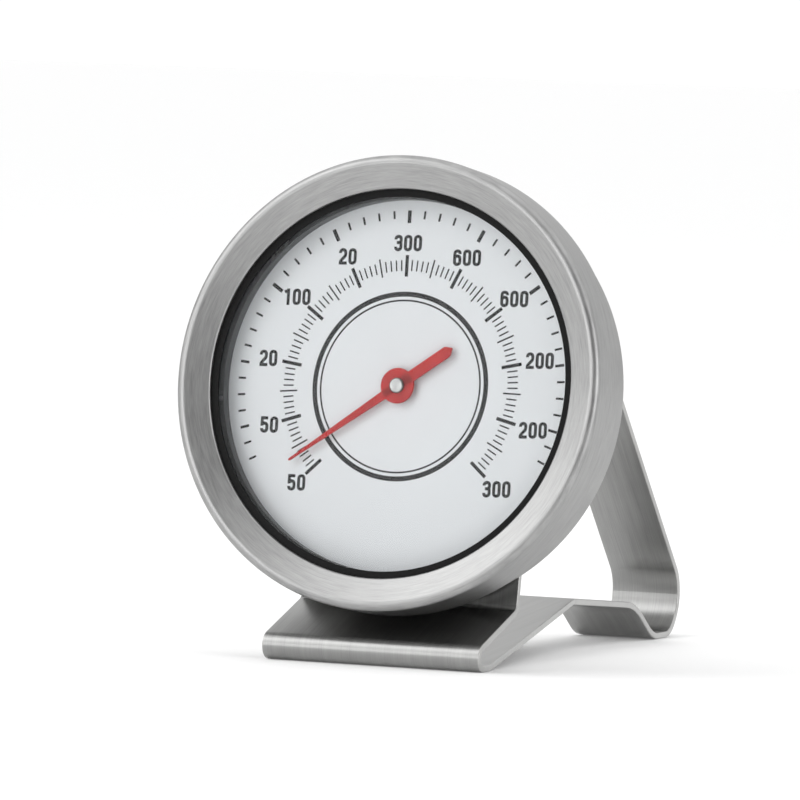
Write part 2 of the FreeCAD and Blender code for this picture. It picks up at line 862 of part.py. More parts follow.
def trim_strip(body):
    """Cut the full-width strip to its plan: the ramp tapers, then the hump and leg are narrow."""
    half_foot = size("foot_width") / 2
    half_hump = size("hump_width") / 2
    half_leg = size("leg_width") / 2
    outside = half_foot + size("trim_reach")
    taper_start, crest = size("taper_start"), size("crest_start")
    middle_start = size("middle_trim_start")
    behind = size("toe_back") + size("trim_reach")
    done = (middle_start - taper_start) / (crest - taper_start)
    middle_x = half_foot - (half_foot - half_hump) * done
    ramp = [(half_foot, taper_start), (outside, taper_start), (outside, crest), (half_hump, crest)]
    hump = [
        (middle_x, middle_start),
        (outside, middle_start),
        (outside, behind),
        (half_leg, behind),
        (half_leg, size("toe_back") - STRIP),
        (half_hump, size("toe_front")),
        (half_hump, crest),
    ]
    leg_start = size("leg_trim_start")
    leg = [(half_leg, leg_start), (outside, leg_start), (outside, behind), (half_leg, behind)]
    middle_height = size("middle_trim_height")
    below = ZERO - CUT_MARGIN
    cuts = [
        ("Ramp", ramp, below, size("low_trim_height") - below),
        ("Hump", hump, below, middle_height - below),
        ("Leg", leg, middle_height, size("arm_height")),
    ]
    for name, outline, start, length in cuts:
        for side, corners in (("Right", outline), ("Left", mirrored(outline))):
            sketch = add_sketch(body, f"{name}{side}", "XY", at_height(start))
            draw_path(sketch, corners, closed=True)
            pocket(body, sketch, length, True, f"{name}{side}Trim")


def rivet_cylinder(number, x):
    """Shank hole through the upstand, square to the case's back."""
    hole = doc.addObject("Part::Cylinder", f"rivet_hole_{number}")
    hole.setExpression("Radius", size("rivet_shank").formula)
    hole.setExpression("Height", (STRIP + CUT_MARGIN * 2).formula)
    start = FreeCAD.Vector(x.value, -size("rivet_drop").value, STRIP_BACK.value - CUT_MARGIN)
    hole.Placement = dial_placement() * FreeCAD.Placement(start, FreeCAD.Rotation())
    return hole


def make_stand():
    body = make_strip()
    trim_strip(body)
    holes = [rivet_cylinder(n, x) for n, (x, _) in enumerate(rivet_places(), start=1)]
    tool = doc.addObject("Part::Compound", "rivet_holes")
    tool.Links = holes
    stand = doc.addObject("Part::Cut", "stand")
    stand.Base = body
    stand.Tool = tool
    stand.Label = "stand"
    return stand


def make_stand_rivets():
    """Rivets through washer, case and upstand: a flat head inside, a domed one outside."""
    shank, inner, head = size("rivet_shank"), size("rivet_inner_head"), size("rivet_head")
    inner_face, inner_height = CASE_INSIDE + size("washer_thickness"), size("rivet_inner_height")
    outer_top = STRIP_BACK - size("rivet_head_height")
    section = [
        (ZERO, outer_top),
        (head, outer_top, size("rivet_head_height") * 0.8),
        (head, STRIP_BACK),
        (shank, STRIP_BACK),
        (shank, inner_face),
        (inner, inner_face),
        (inner, inner_face + inner_height),
        (ZERO, inner_face + inner_height),
    ]
    turned_group("stand_rivets", section, rivet_places())


def make_rivet_washers():
    bottom, top = CASE_INSIDE, CASE_INSIDE + size("washer_thickness")
    section = [
        (size("rivet_shank"), bottom),
        (size("washer_radius"), bottom),
        (size("washer_radius"), top),
        (size("rivet_shank"), top),
    ]
    turned_group("rivet_washers", section, rivet_places())


# ---------------------------------------------------------------- build, check, write

NODES = [
    "bezel", "lens", "lens_gasket", "spacer_ring", "dial_plate", "dial_posts", "rear_case",
    "pointer", "pointer_cap", "arbor", "arbor_clip", "coil_collet", "bimetal_coil", "coil_post",
    "coil_pin", "bridge", "bridge_pillars", "bridge_screws", "front_bush", "rear_bush", "stand",
    "stand_rivets", "rivet_washers",
]

make_bezel()
make_rear_case()
make_dial_stack()
make_dial_posts()
make_pointer()
make_pointer_cap()
make_arbor()
make_arbor_clip()
make_bridge()
make_front_bush()
make_rear_bush()
make_bridge_pillars()
make_bridge_screws()
make_bimetal_coil()
make_coil_collet()
make_coil_post()
make_coil_pin()
make_stand()
make_stand_rivets()
make_rivet_washers()
doc.recompute()

for item in doc.Objects:
    if "Invalid" in item.State or "Error" in item.State:
        raise RuntimeError(f"{item.Label} failed: {item.State}")
    if item.isDerivedFrom("Sketcher::SketchObject") and not item.FullyConstrained:
        raise RuntimeError(f"{item.Label} is not fully constrained")

os.makedirs("parts", exist_ok=True)
outline_box = FreeCAD.BoundBox()
for node in NODES:
    shape = doc.getObjectsByLabel(node)[0].Shape
    if shape.isNull() or not shape.isValid() or not shape.Solids:
        raise RuntimeError(f"{node} has no valid solid")
    outline_box.add(shape.BoundBox)
    shape.exportStep(f"parts/{node}.step")
    print(f"{node}: {len(shape.Solids)} solid(s), {shape.Volume:.1f} mm3")
print("outline", outline_box)
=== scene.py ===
import json
import math

import bmesh
import bpy
from mathutils import Matrix, Vector


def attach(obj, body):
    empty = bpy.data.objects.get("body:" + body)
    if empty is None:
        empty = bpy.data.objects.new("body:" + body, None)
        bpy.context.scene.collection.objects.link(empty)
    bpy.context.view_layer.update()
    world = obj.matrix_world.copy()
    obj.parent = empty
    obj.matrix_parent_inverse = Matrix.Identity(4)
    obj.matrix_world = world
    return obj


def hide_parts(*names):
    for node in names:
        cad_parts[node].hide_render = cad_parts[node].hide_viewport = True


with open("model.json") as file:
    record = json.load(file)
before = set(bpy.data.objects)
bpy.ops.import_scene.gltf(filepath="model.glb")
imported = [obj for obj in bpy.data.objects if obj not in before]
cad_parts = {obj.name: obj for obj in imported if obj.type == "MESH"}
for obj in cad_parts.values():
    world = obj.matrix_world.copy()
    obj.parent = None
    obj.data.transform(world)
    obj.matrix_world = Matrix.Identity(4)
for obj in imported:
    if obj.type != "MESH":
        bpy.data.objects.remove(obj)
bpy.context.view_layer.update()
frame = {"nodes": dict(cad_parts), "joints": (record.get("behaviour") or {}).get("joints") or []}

# Oven thermometer. Outlines are in millimetres, drawn about the dial's own axis or along the
# strip, and become metres when the mesh is made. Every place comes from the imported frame.

MM = 0.001

POINTER_JOINT = frame["joints"][0]
DIAL_CENTRE = Vector(POINTER_JOINT["pos_m"])
DIAL_TILT = math.asin(-Vector(POINTER_JOINT["axis"]).normalized().z)
# in this frame +Z comes out of the glass, +Y is the top of the dial, Z = 0 is the printed face
DIAL = Matrix.Translation(DIAL_CENTRE) @ Matrix.Rotation(math.radians(90) - DIAL_TILT, 4, "X")

FIXED, TURNING = "case", "pointer_shaft"
SEGMENTS = 240
ARC_STEP = math.radians(6)
SHARP_ANGLE = math.radians(50)


def dial_span(node):
    """(nearest, farthest, lowest, highest) of a CAD node about the dial's axis, in mm."""
    back = DIAL.inverted()
    local = [back @ vertex.co / MM for vertex in frame["nodes"][node].data.vertices]
    radii = [math.hypot(point.x, point.y) for point in local]
    heights = [point.z for point in local]
    return min(radii), max(radii), min(heights), max(heights)


# ---------------------------------------------------------------- outlines and meshes

def rounded(corners, closed=True):
    """Points through the corners, with a tangent arc at each corner that has a radius."""
    points = []
    count = len(corners)
    for i, corner in enumerate(corners):
        here = Vector(corner[:2])
        if len(corner) == 2 or (not closed and i in (0, count - 1)):
            points.append(here)
            continue
        back = (Vector(corners[i - 1][:2]) - here).normalized()
        ahead = (Vector(corners[(i + 1) % count][:2]) - here).normalized()
        half = back.angle(ahead) / 2
        centre = here + (back + ahead).normalized() * (corner[2] / math.sin(half))
        start = here + back * (corner[2] / math.tan(half)) - centre
        end = here + ahead * (corner[2] / math.tan(half)) - centre
        turn = math.atan2(start.x * end.y - start.y * end.x, start.dot(end))
        steps = max(2, math.ceil(abs(turn) / ARC_STEP))
        for k in range(steps + 1):
            points.append(centre + Matrix.Rotation(turn * k / steps, 2) @ start)
    return points


def finish_mesh(name, bm, place=None, body=FIXED, material=None, flat=False):
    """Turns a bmesh in mm into a smooth-shaded object in metres that rides on its body."""
    bmesh.ops.recalc_face_normals(bm, faces=bm.faces)
    mesh = bpy.data.meshes.new(name)
    bm.to_mesh(mesh)
    bm.free()
    mesh.transform(Matrix.Scale(MM, 4))
    if not flat:
        mesh.shade_smooth()
        mesh.set_sharp_from_angle(angle=SHARP_ANGLE)
    piece = bpy.data.objects.new(name, mesh)
    bpy.context.scene.collection.objects.link(piece)
    if place is not None:
        piece.matrix_world = place
    if not flat:
        weighted = piece.modifiers.new("even_shading", "WEIGHTED_NORMAL")
        weighted.keep_sharp = True
    if material is not None:
        mesh.materials.append(material)
    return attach(piece, body)


def lathe(bm, corners, segments=SEGMENTS, offset=(0, 0)):
    """A closed outline of (radius, height, round) turned about Z."""
    rings = []
    for point in rounded(corners):
        if point.x < 1e-6:
            rings.append([bm.verts.new((offset[0], offset[1], point.y))])
            continue
        rings.append([
            bm.verts.new((
                offset[0] + point.x * math.cos(2 * math.pi * k / segments),
                offset[1] + point.x * math.sin(2 * math.pi * k / segments),
                point.y,
            ))
            for k in range(segments)
        ])
    for ring, after in zip(rings, rings[1:] + rings[:1]):
        for k in range(segments):
            corner = [ring[k % len(ring)], ring[(k + 1) % len(ring)],
                      after[(k + 1) % len(after)], after[k % len(after)]]
            face = list(dict.fromkeys(corner))
            if len(face) > 2:
                bm.faces.new(face)


def turned(name, corners, material, place=DIAL, body=FIXED):
    bm = bmesh.new()
    lathe(bm, corners)
    return finish_mesh(name, bm, place, body, material)


def slab(bm, left, right, low, high, closed=False):
    """A thin solid between two lines of points, such as a printed stroke."""
    rows = [
        [bm.verts.new((a.x, a.y, high)), bm.verts.new((b.x, b.y, high)),
         bm.verts.new((b.x, b.y, low)), bm.verts.new((a.x, a.y, low))]
        for a, b in zip(left, right)
    ]
    for row, after in zip(rows, rows[1:] + rows[:1] if closed else rows[1:]):
        for k in range(4):
            bm.faces.new([row[k], row[(k + 1) % 4], after[(k + 1) % 4], after[k]])
    if not closed:
        bm.faces.new(rows[0])
        bm.faces.new(rows[-1])


def stroke(bm, points, width, low, high, closed=False):
    """A pen stroke of constant width along points, with mitred corners."""
    left, right = [], []
    count = len(points)
    for i, point in enumerate(points):
        before = point - points[i - 1] if closed or i > 0 else points[1] - point
        after = points[(i + 1) % count] - point if closed or i < count - 1 else before
        side_before = Vector((-before.y, before.x)).normalized()
        side_after = Vector((-after.y, after.x)).normalized()
        mitre = (side_before + side_after) / (1 + side_before.dot(side_after))
        left.append(point + mitre * width / 2)
        right.append(point - mitre * width / 2)
    slab(bm, left, right, low, high, closed)


# ---------------------------------------------------------------- node helpers

def new_material(name, color, roughness, metallic=0.0):
    """A material, its tree and its Principled shader, with the plain values that nodes refine."""
    material = bpy.data.materials.new(name)
    material.use_nodes = True
    tree = material.node_tree
    shader = tree.nodes["Principled BSDF"]
    shader.inputs["Base Color"].default_value = (*color, 1)
    shader.inputs["Roughness"].default_value = roughness
    shader.inputs["Metallic"].default_value = metallic
    return material, tree, shader


def add_node(tree, kind, **values):
    """A node with its properties, and with its inputs linked or set."""
    node = tree.nodes.new(kind)
    inputs = values.pop("inputs", {})
    for key, value in values.items():
        setattr(node, key, value)
    for key, value in inputs.items():
        if isinstance(value, bpy.types.NodeSocket):
            tree.links.new(value, node.inputs[key])
        else:
            node.inputs[key].default_value = value
    return node


def object_place(tree):
    return add_node(tree, "ShaderNodeTexCoord").outputs["Object"]


def noise(tree, place, scale, detail=4.0, roughness=0.55):
    """Noise with so many features in a unit of place: a metre, unless place is stretched."""
    found = add_node(tree, "ShaderNodeTexNoise", inputs={
        "Vector": place, "Scale": scale, "Detail": detail, "Roughness": roughness})
    return found.outputs["Fac"]


def ramp_to(tree, value, socket, low, high, start=0.3, end=0.7):
    """Drives a socket from low to high as value goes from start to end."""
    if isinstance(low, tuple):
        ramp = add_node(tree, "ShaderNodeValToRGB", inputs={"Fac": value})
        first, last = ramp.color_ramp.elements
        first.position, last.position = start, end
        first.color, last.color = (*low, 1), (*high, 1)
        tree.links.new(ramp.outputs["Color"], socket)
        return
    mapped = add_node(tree, "ShaderNodeMapRange", inputs={
        "Value": value, "From Min": start, "From Max": end, "To Min": low, "To Max": high})
    tree.links.new(mapped.outputs["Result"], socket)


def bump_from(tree, value, shader, strength, depth_mm):
    bump = add_node(tree, "ShaderNodeBump", inputs={
        "Height": value, "Strength": strength, "Distance": depth_mm * MM})
    tree.links.new(bump.outputs["Normal"], shader.inputs["Normal"])


def mixed(tree, first, second, share):
    """A plain mix of two values."""
    mix = add_node(tree, "ShaderNodeMix", data_type="FLOAT", inputs={"Factor": share})
    tree.links.new(first, mix.inputs["A"])
    tree.links.new(second, mix.inputs["B"])
    return mix.outputs["Result"]


def vector_math(tree, operation, *inputs):
    node = add_node(tree, "ShaderNodeVectorMath", operation=operation)
    for socket, value in zip([s for s in node.inputs if s.type != "VALUE"], inputs):
        if isinstance(value, bpy.types.NodeSocket):
            tree.links.new(value, socket)
        else:
            socket.default_value = value
    return node.outputs["Value"] if operation == "LENGTH" else node.outputs["Vector"]


def circle_streaks(tree, fineness, sweep, detail=3.0):
    """Noise drawn out along circles about the piece's own Z, as turning marks are."""
    place = object_place(tree)
    flat = vector_math(tree, "MULTIPLY", place, (1, 1, 0))
    around = vector_math(tree, "MULTIPLY", vector_math(tree, "NORMALIZE", flat), (sweep, sweep, 0))
    radius = add_node(tree, "ShaderNodeCombineXYZ", inputs={
        "Z": vector_math(tree, "LENGTH", flat)})
    height = vector_math(tree, "MULTIPLY", place, (0, 0, 1))
    across = vector_math(tree, "ADD", radius.outputs["Vector"], height)
    fine = vector_math(tree, "MULTIPLY", across, (0, 0, fineness))
    return noise(tree, vector_math(tree, "ADD", around, fine), 1.0, detail)


def strip_streaks(tree, across, along, detail=3.0):
    """Noise drawn out along the strip's length, as rolling and brushing marks are."""
    route = add_node(tree, "ShaderNodeUVMap", uv_map="strip").outputs["UV"]
    return noise(tree, vector_math(tree, "MULTIPLY", route, (across, along, 1)), 1.0, detail)


# ---------------------------------------------------------------- materials

def bezel_steel():
    """Satin stainless steel, brushed round the dial's axis."""
    material, tree, shader = new_material("bezel_steel", (0.6, 0.6, 0.6), 0.3, 1.0)
    broad = circle_streaks(tree, fineness=2200, sweep=5.0)
    fine = circle_streaks(tree, fineness=9000, sweep=12.0)
    tone = mixed(tree, broad, fine, 0.6)
    ramp_to(tree, tone, shader.inputs["Base Color"], (0.27, 0.27, 0.27), (0.43, 0.43, 0.427))
    ramp_to(tree, tone, shader.inputs["Roughness"], 0.38, 0.48)
    shader.inputs["Anisotropic"].default_value = 0.5
    tangent = add_node(tree, "ShaderNodeTangent", direction_type="RADIAL", axis="Z")
    tree.links.new(tangent.outputs["Tangent"], shader.inputs["Tangent"])
    bump_from(tree, fine, shader, strength=0.4, depth_mm=0.02)
    return material


def case_steel():
    """Deep-drawn steel: duller, with faint draw rings and handling marks."""
    material, tree, shader = new_material("case_steel", (0.5, 0.5, 0.5), 0.35, 1.0)
    rings = circle_streaks(tree, fineness=2500, sweep=2.0)
    smears = noise(tree, object_place(tree), scale=140, detail=5)
    ramp_to(tree, smears, shader.inputs["Base Color"], (0.3, 0.3, 0.3), (0.37, 0.37, 0.367))
    ramp_to(tree, mixed(tree, rings, smears, 0.5), shader.inputs["Roughness"], 0.32, 0.44)
    shader.inputs["Anisotropic"].default_value = 0.4
    bump_from(tree, rings, shader, strength=0.2, depth_mm=0.02)
    return material


def strip_steel():
    """Rolled stainless strip: lengthwise brushing, faint smears, and a painted highlight along its
    edges, which get a lighter tone.
    """
    material, tree, shader = new_material("strip_steel", (0.55, 0.55, 0.55), 0.34, 1.0)
    fine = strip_streaks(tree, across=7, along=0.1)
    broad = strip_streaks(tree, across=0.9, along=0.02, detail=5)
    smears = noise(tree, object_place(tree), scale=90, detail=5)
    tone = mixed(tree, mixed(tree, fine, broad, 0.4), smears, 0.3)
    surface = add_node(tree, "ShaderNodeMix", data_type="RGBA")
    edge, face_tone, edge_highlight_tone = (socket for socket in surface.inputs if socket.enabled)
    ramp_to(tree, tone, face_tone, (0.27, 0.27, 0.267), (0.39, 0.39, 0.384), 0.35, 0.65)
    # the strip's edges get a lighter base colour: a painted highlight along the edges
    ramp_to(tree, smears, edge_highlight_tone, (0.38, 0.38, 0.375), (0.5, 0.5, 0.49))
    painted_edge_highlight = add_node(tree, "ShaderNodeAttribute", attribute_name="painted_edge_highlight")
    tree.links.new(painted_edge_highlight.outputs["Fac"], edge)
    found = next(socket for socket in surface.outputs if socket.enabled)
    tree.links.new(found, shader.inputs["Base Color"])
    ramp_to(tree, mixed(tree, fine, smears, 0.5), shader.inputs["Roughness"], 0.28, 0.4)
    shader.inputs["Anisotropic"].default_value = 0.5
    tangent = add_node(tree, "ShaderNodeTangent", direction_type="UV_MAP", uv_map="strip")
    tree.links.new(tangent.outputs["Tangent"], shader.inputs["Tangent"])
    bump_from(tree, fine, shader, strength=0.2, depth_mm=0.02)
    return material


def bright_metal(name, low, high, roughness, scale=900):
    """Metal of a small part: its tone, roughness and fine marks vary a little."""
    material, tree, shader = new_material(name, high, roughness, 1.0)
    place = object_place(tree)
    stain = noise(tree, place, scale, detail=5)
    ramp_to(tree, stain, shader.inputs["Base Color"], low, high)
    ramp_to(tree, stain, shader.inputs["Roughness"], roughness + 0.12, roughness - 0.06)
    marks = noise(tree, place, scale * 7, detail=2)
    bump_from(tree, marks, shader, strength=0.15, depth_mm=0.02)
    return material


def dial_enamel():
    """Cool white enamel with a very fine pearl grain."""
    material, tree, shader = new_material("dial_enamel", (0.7, 0.72, 0.74), 0.4)
    place = object_place(tree)
    cloud = noise(tree, place, scale=60, detail=3)
    grain = noise(tree, place, scale=9000, detail=2)
    ramp_to(tree, mixed(tree, cloud, grain, 0.35), shader.inputs["Base Color"],
            (0.765, 0.777, 0.797), (0.795, 0.807, 0.827))
    ramp_to(tree, grain, shader.inputs["Roughness"], 0.34, 0.48)
    bump_from(tree, grain, shader, strength=0.1, depth_mm=0.01)
    return material


def dial_ink():
    """Matt black screen print, a touch thin in places."""
    material, tree, shader = new_material("dial_ink", (0.02, 0.02, 0.024), 0.55)
    grain = noise(tree, object_place(tree), scale=4000, detail=3)
    ramp_to(tree, grain, shader.inputs["Base Color"], (0.004, 0.004, 0.005), (0.016, 0.016, 0.018))
    ramp_to(tree, grain, shader.inputs["Roughness"], 0.5, 0.65)
    shader.inputs["Specular IOR Level"].default_value = 0.25
    bump_from(tree, grain, shader, strength=0.2, depth_mm=0.01)
    return material


def pointer_paint():
    """Deep red lacquer on the stamped needle."""
    material, tree, shader = new_material("pointer_paint", (0.5, 0.02, 0.02), 0.4)
    place = object_place(tree)
    flow = noise(tree, place, scale=500, detail=3)
    grain = noise(tree, place, scale=6000, detail=2)
    ramp_to(tree, flow, shader.inputs["Base Color"], (0.42, 0.005, 0.006), (0.55, 0.012, 0.011))
    ramp_to(tree, grain, shader.inputs["Roughness"], 0.34, 0.48)
    shader.inputs["Specular IOR Level"].default_value = 0.25
    bump_from(tree, grain, shader, strength=0.15, depth_mm=0.01)
    return material


def black_rubber():
    """Gasket rubber: matt, faintly dusty."""
    material, tree, shader = new_material("gasket_rubber", (0.012, 0.012, 0.012), 0.6)
    grain = noise(tree, object_place(tree), scale=3500, detail=4)
    ramp_to(tree, grain, shader.inputs["Base Color"], (0.004, 0.004, 0.004), (0.014, 0.014, 0.014))
    ramp_to(tree, grain, shader.inputs["Roughness"], 0.6, 0.8)
    shader.inputs["Specular IOR Level"].default_value = 0.12
    bump_from(tree, grain, shader, strength=0.3, depth_mm=0.03)
    return material


def spacer_plastic():
    """Dark grey spacer wall with faint moulding rings."""
    material, tree, shader = new_material("spacer_plastic", (0.04, 0.042, 0.045), 0.42)
    rings = circle_streaks(tree, fineness=4000, sweep=2.0)
    ramp_to(tree, rings, shader.inputs["Base Color"], (0.075, 0.078, 0.08), (0.12, 0.124, 0.128))
    ramp_to(tree, rings, shader.inputs["Roughness"], 0.36, 0.5)
    bump_from(tree, rings, shader, strength=0.2, depth_mm=0.02)
    return material


def lens_glass():
    """Clear flat glass: what is behind shows through, with a thin reflection on top."""
    material, tree, shader = new_material("lens_glass", (0.97, 0.985, 0.98), 0.03)
    tree.nodes.remove(shader)
    smears = noise(tree, object_place(tree), scale=120, detail=4)
    clear = add_node(tree, "ShaderNodeBsdfTransparent", inputs={"Color": (0.985, 0.99, 0.99, 1)})
    gloss = add_node(tree, "ShaderNodeBsdfGlossy", inputs={"Color": (1, 1, 1, 1)})
    ramp_to(tree, smears, gloss.inputs["Roughness"], 0.02, 0.07)
    rim = add_node(tree, "ShaderNodeFresnel", inputs={"IOR": 1.2})
    mix = add_node(tree, "ShaderNodeMixShader", inputs={"Fac": rim.outputs["Fac"]})
    tree.links.new(clear.outputs["BSDF"], mix.inputs[1])
    tree.links.new(gloss.outputs["BSDF"], mix.inputs[2])
    tree.links.new(mix.outputs["Shader"], tree.nodes["Material Output"].inputs["Surface"])
    return material


# ---------------------------------------------------------------- case

EDGE_BREAK = 0.12
LIP_RADIUS, LIP_WIDTH, LIP_FRONT, LIP_ROUND = 27.3, 0.9, 4.1, 0.4
CROWN_RADIUS, SHOULDER_ROUND = 30.75, 1.0
BEZEL_WALL, BEZEL_CORNER = 0.6, 1.5


def make_bezel(steel):
    """Pressed ring: a lip over the glass, a face rising to a rounded shoulder, a side band."""
    _, outer, back, front = dial_span("bezel")
    inner = outer - BEZEL_WALL
    ring = turned("bezel_ring", [
        (LIP_RADIUS, LIP_FRONT - BEZEL_WALL, EDGE_BREAK),
        (LIP_RADIUS + LIP_WIDTH, LIP_FRONT - BEZEL_WALL),
        (CROWN_RADIUS, front - BEZEL_WALL),
        (inner, front - BEZEL_CORNER),
        (inner, back, EDGE_BREAK),
        (outer, back, EDGE_BREAK),
        (outer, front, SHOULDER_ROUND),
        (CROWN_RADIUS, front, SHOULDER_ROUND),
        (LIP_RADIUS, LIP_FRONT, LIP_ROUND),
    ], steel)
    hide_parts("bezel")


CASE_WALL, CASE_NECK, CASE_RADIUS, CASE_STEP = 0.8, 31.2, 30.2, -2.6
CASE_SIDE_BACK, CASE_BACK_RADIUS, CASE_BACK_ROUND, CASE_STEP_ROUND = -8.7, 29.4, 1.8, 0.3
CASE_BODY_ROUND, CASE_SIDE_ROUND = 0.3, 0.8
VENT_RADIUS, VENT_CIRCLE, VENT_ANGLES = 1.4, 19.0, (30, 60, 90, 120, 150)
DRILL_OVERRUN, DRILL_SEGMENTS = 1, 48


def make_case(steel):
    """Drawn cup: a neck inside the bezel, a step in to the body and a flat vented back."""
    _, _, back, front = dial_span("rear_case")
    outer = CASE_RADIUS
    wall = CASE_WALL
    case = turned("case_cup", [
        (0, back + wall),
        (CASE_BACK_RADIUS - wall, back + wall, CASE_BACK_ROUND - wall),
        (outer - wall, CASE_SIDE_BACK),
        (outer - wall, CASE_STEP + wall),
        (CASE_NECK - wall, CASE_STEP + wall),
        (CASE_NECK - wall, front),
        (CASE_NECK, front),
        (CASE_NECK, CASE_STEP, CASE_STEP_ROUND),
        (outer, CASE_STEP, CASE_BODY_ROUND),
        (outer, CASE_SIDE_BACK, CASE_SIDE_ROUND),
        (CASE_BACK_RADIUS, back, CASE_BACK_ROUND),
        (0, back),
    ], steel)
    drills = bmesh.new()
    low, high = back - DRILL_OVERRUN, back + wall + DRILL_OVERRUN
    for angle in map(math.radians, VENT_ANGLES):
        middle = (VENT_CIRCLE * math.cos(angle), VENT_CIRCLE * math.sin(angle))
        lathe(drills, [(0, low), (VENT_RADIUS, low), (VENT_RADIUS, high), (0, high)],
              DRILL_SEGMENTS, middle)
    cut_away(case, drills)
    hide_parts("rear_case")


def cut_away(piece, tool_mesh):
    """Cuts a closed tool mesh, in the piece's own millimetres, out of the piece."""
    bmesh.ops.recalc_face_normals(tool_mesh, faces=tool_mesh.faces)
    mesh = bpy.data.meshes.new("drills")
    tool_mesh.to_mesh(mesh)
    tool_mesh.free()
    mesh.transform(Matrix.Scale(MM, 4))
    tool = bpy.data.objects.new("drills", mesh)
    tool.matrix_world = piece.matrix_world
    bpy.context.scene.collection.objects.link(tool)
    cut = piece.modifiers.new("vents", "BOOLEAN")
    cut.operation, cut.solver, cut.object = "DIFFERENCE", "EXACT", tool
    piece.modifiers.move(len(piece.modifiers) - 1, 0)
    bpy.context.view_layer.update()
    evaluated = piece.evaluated_get(bpy.context.evaluated_depsgraph_get())
    done = bpy.data.meshes.new_from_object(evaluated)
    piece.modifiers.clear()
    piece.data = done
    bpy.data.objects.remove(tool)


GASKET_ROUND, SPACER_ROUND, DIAL_ROUND, LENS_ROUND = 0.06, 0.1, 0.05, 0.2


def make_dial_stack(rubber, plastic, enamel, glass):
    """Gasket, glass, spacer and dial, from the front to the back."""
    def ring(name, node, material, slot, edge):
        inner, outer, low, high = dial_span(node)
        made = turned(name, [(inner, low, edge), (outer, low), (outer, high), (inner, high, edge)],
                      material)
        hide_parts(node)

    ring("gasket_ring", "lens_gasket", rubber, "black_rubber", GASKET_ROUND)
    ring("spacer_wall", "spacer_ring", plastic, "dark_spacer", SPACER_ROUND)
    ring("dial_face", "dial_plate", enamel, "dial_white", DIAL_ROUND)
    _, outer, low, high = dial_span("lens")
    lens = turned("lens_pane", [(0, low), (outer, low, LENS_ROUND), (outer, high, LENS_ROUND),
                                (0, high)], glass)
    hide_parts("lens")


# ---------------------------------------------------------------- dial print

INK_LOW, INK_HIGH = 0.0, 0.02
RING_RADIUS = 13.28
PRINT_TURN = math.radians(-2.0)
INNER_PITCH = math.radians(26.51)
OUTER_PITCH = math.radians(5.49)
INNER_PARTS = 10
# each figure and how far out its middle lies, in ring radii, from the lower left clockwise
FIGURES = [("50", 1.53), ("50", 1.54), ("20", 1.56), ("100", 1.56), ("20", 1.535), ("300", 1.52),
           ("600", 1.53), ("600", 1.56), ("200", 1.6), ("200", 1.6), ("300", 1.58)]
FIGURE_HEIGHT = 2.33
# in figure heights
PEN = 0.19
DIGIT_WIDTH, DIGIT_PITCH = 0.535, 0.635
# edges of the heavy and the fine ring, in ring radii
RING_EDGES = ((0.952, 1.004), (0.902, 0.92))
# (inner end, outer end) in ring radii and width in mm
INNER_MAIN, INNER_MIDDLE = (1.165, 1.393, 0.48), (1.18, 1.38, 0.22)
INNER_SHORT = (1.225, 1.34, 0.2)
OUTER_MAIN, OUTER_MIDDLE = (1.732, 1.867, 0.54), (1.767, 1.867, 0.38)
OUTER_SHORT = (1.782, 1.867, 0.3)
# ticks of the outer scale, counted from the top
OUTER_LAST, OUTER_MAIN_TICKS, OUTER_MIDDLE_TICKS = 21, (0, 5, 10), (15, 19)


def digit_strokes():
    """Centre lines of the digits in units of their height: (corners, closed)."""
    left, right = PEN / 2, DIGIT_WIDTH - PEN / 2
    low, high = PEN / 2, 1 - PEN / 2
    bend = (right - left) / 2 * 0.98
    waist = 0.53
    return {
        "0": [([(left, low, bend), (right, low, bend), (right, high, bend), (left, high, bend)],
               True)],
        "1": [([(0.34, 0), (0.34, 1)], False), ([(0.1, 0.79), (0.26, 0.86)], False)],
        "2": [([(left, 0.7), (left, high, bend), (right, high, bend), (right, 0.56, 0.2),
                (left + 0.02, 0.2, 0.1), (left + 0.02, low), (DIGIT_WIDTH, low)], False)],
        "3": [([(left, 0.72), (left, high, bend), (right, high, bend), (right, waist, 0.12),
                (0.16, waist)], False),
              ([(0.16, waist), (right, waist, 0.12), (right, low, bend), (left, low, bend),
                (left, 0.28)], False)],
        "5": [([(right + 0.05, high), (left + 0.02, high), (left + 0.01, 0.43)], False),
              ([(left + 0.03, 0.5), (left + 0.1, 0.585, 0.07), (right, 0.585, bend),
                (right, low, bend), (left, low, bend), (left, 0.28)], False)],
        "6": [([(left, low, bend), (right, low, bend), (right, 0.6, bend), (left, 0.6, bend)],
               True),
              ([(left, 0.45), (left, high, bend), (right, high, bend), (right, 0.72)], False)],
    }


def write_figure(bm, text, middle, strokes):
    """One number, upright about its middle."""
    width = DIGIT_PITCH * (len(text) - 1) + DIGIT_WIDTH
    upright = Matrix.Rotation(-PRINT_TURN, 2)
    for i, digit in enumerate(text):
        corner = Vector((DIGIT_PITCH * i - width / 2, -0.5))
        for corners, closed in strokes[digit]:
            line = [middle + upright @ ((point + corner) * FIGURE_HEIGHT)
                    for point in rounded(corners, closed)]
            stroke(bm, line, PEN * FIGURE_HEIGHT, INK_LOW, INK_HIGH, closed)


def on_dial(angle, radius):
    """A point at an angle clockwise from the print's own top, at so many ring radii."""
    turn = angle + PRINT_TURN
    return Vector((math.sin(turn), math.cos(turn))) * (radius * RING_RADIUS)


def tick(bm, angle, inner, outer, width):
    stroke(bm, [on_dial(angle, inner), on_dial(angle, outer)], width, INK_LOW, INK_HIGH)


def printed_ring(bm, inner, outer):
    turns = [2 * math.pi * k / SEGMENTS for k in range(SEGMENTS)]
    slab(bm, [on_dial(t, outer) for t in turns], [on_dial(t, inner) for t in turns],
         INK_LOW, INK_HIGH, closed=True)


def print_piece(name, bm, ink):
    return finish_mesh(name, bm, DIAL, FIXED, ink, flat=True)


